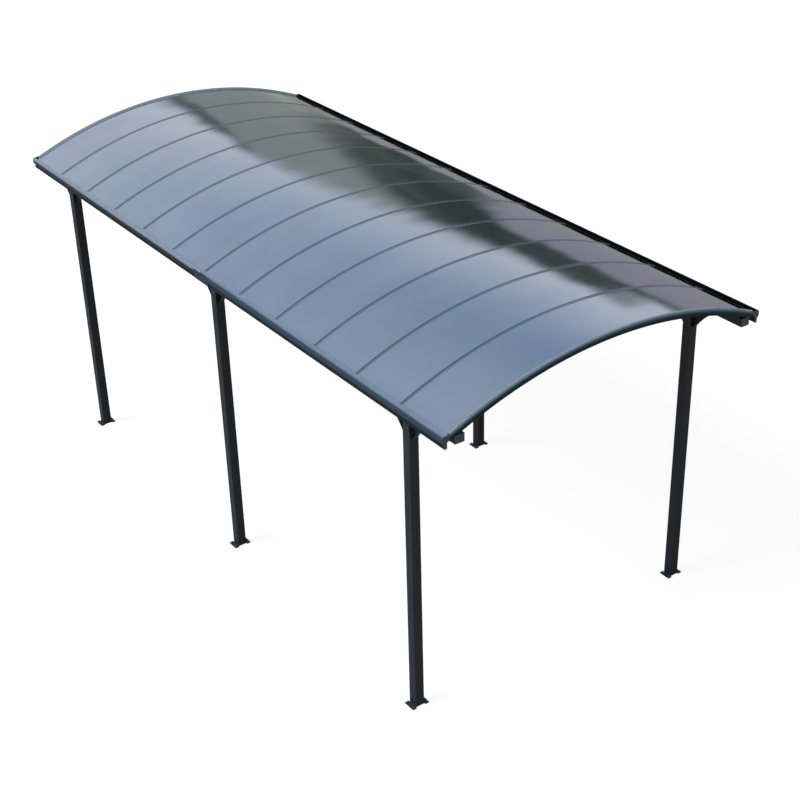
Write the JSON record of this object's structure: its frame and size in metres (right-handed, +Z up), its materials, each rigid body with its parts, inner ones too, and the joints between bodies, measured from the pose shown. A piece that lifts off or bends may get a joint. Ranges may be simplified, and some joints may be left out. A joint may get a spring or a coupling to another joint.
{
  "type": "carport",
  "caption": "Long free-standing carport with an arched sheet roof on slim square posts, side beams with corner braces, and gutters along both eaves.",
  "frame": {"origin": "on the ground in the middle of the bay", "axes": "+Z up, +Y along the bay towards the rear, +X across it to the right"},
  "size_m": [3.5566, 7.64, 3.573],
  "materials": {
    "post_coat": "satin anthracite powder coat",
    "foot_coat": "satin anthracite powder coat",
    "brace_coat": "satin anthracite powder coat",
    "beam_coat": "satin anthracite powder coat",
    "rail_coat": "satin anthracite powder coat",
    "gutter_coat": "gloss anthracite powder coat",
    "splice_coat": "satin anthracite powder coat",
    "cap_plastic": "moulded anthracite",
    "rafter_coat": "satin anthracite powder coat",
    "rim_coat": "gloss anthracite powder coat",
    "roof_sheet": "smoke tinted gloss sheet"
  },
  "bodies": {
    "root": {"left_front_post": "post_coat", "left_middle_post": "post_coat", "left_rear_post": "post_coat", "left_base_plates": "foot_coat", "left_corner_braces": "brace_coat", "left_beam": "beam_coat", "left_eave_rail": "rail_coat", "left_front_gutter": "gutter_coat", "left_rear_gutter": "gutter_coat", "right_front_post": "post_coat", "right_middle_post": "post_coat", "right_rear_post": "post_coat", "right_base_plates": "foot_coat", "right_corner_braces": "brace_coat", "right_beam": "beam_coat", "right_eave_rail": "rail_coat", "right_front_gutter": "gutter_coat", "right_rear_gutter": "gutter_coat", "gutter_splices": "splice_coat", "end_caps": "cap_plastic", "rafter_01": "rafter_coat", "rafter_02": "rafter_coat", "rafter_03": "rafter_coat", "rafter_04": "rafter_coat", "rafter_05": "rafter_coat", "rafter_06": "rafter_coat", "rafter_07": "rafter_coat", "rafter_08": "rafter_coat", "rafter_09": "rafter_coat", "rafter_10": "rafter_coat", "rafter_11": "rafter_coat", "roof_panel_01": "roof_sheet", "roof_panel_02": "roof_sheet", "roof_panel_03": "roof_sheet", "roof_panel_04": "roof_sheet", "roof_panel_05": "roof_sheet", "roof_panel_06": "roof_sheet", "roof_panel_07": "roof_sheet", "roof_panel_08": "roof_sheet", "roof_panel_09": "roof_sheet", "roof_panel_10": "roof_sheet", "roof_panel_11": "roof_sheet", "roof_panel_12": "roof_sheet", "front_rim": "rim_coat", "rear_rim": "rim_coat"}
  },
  "joints": []
}
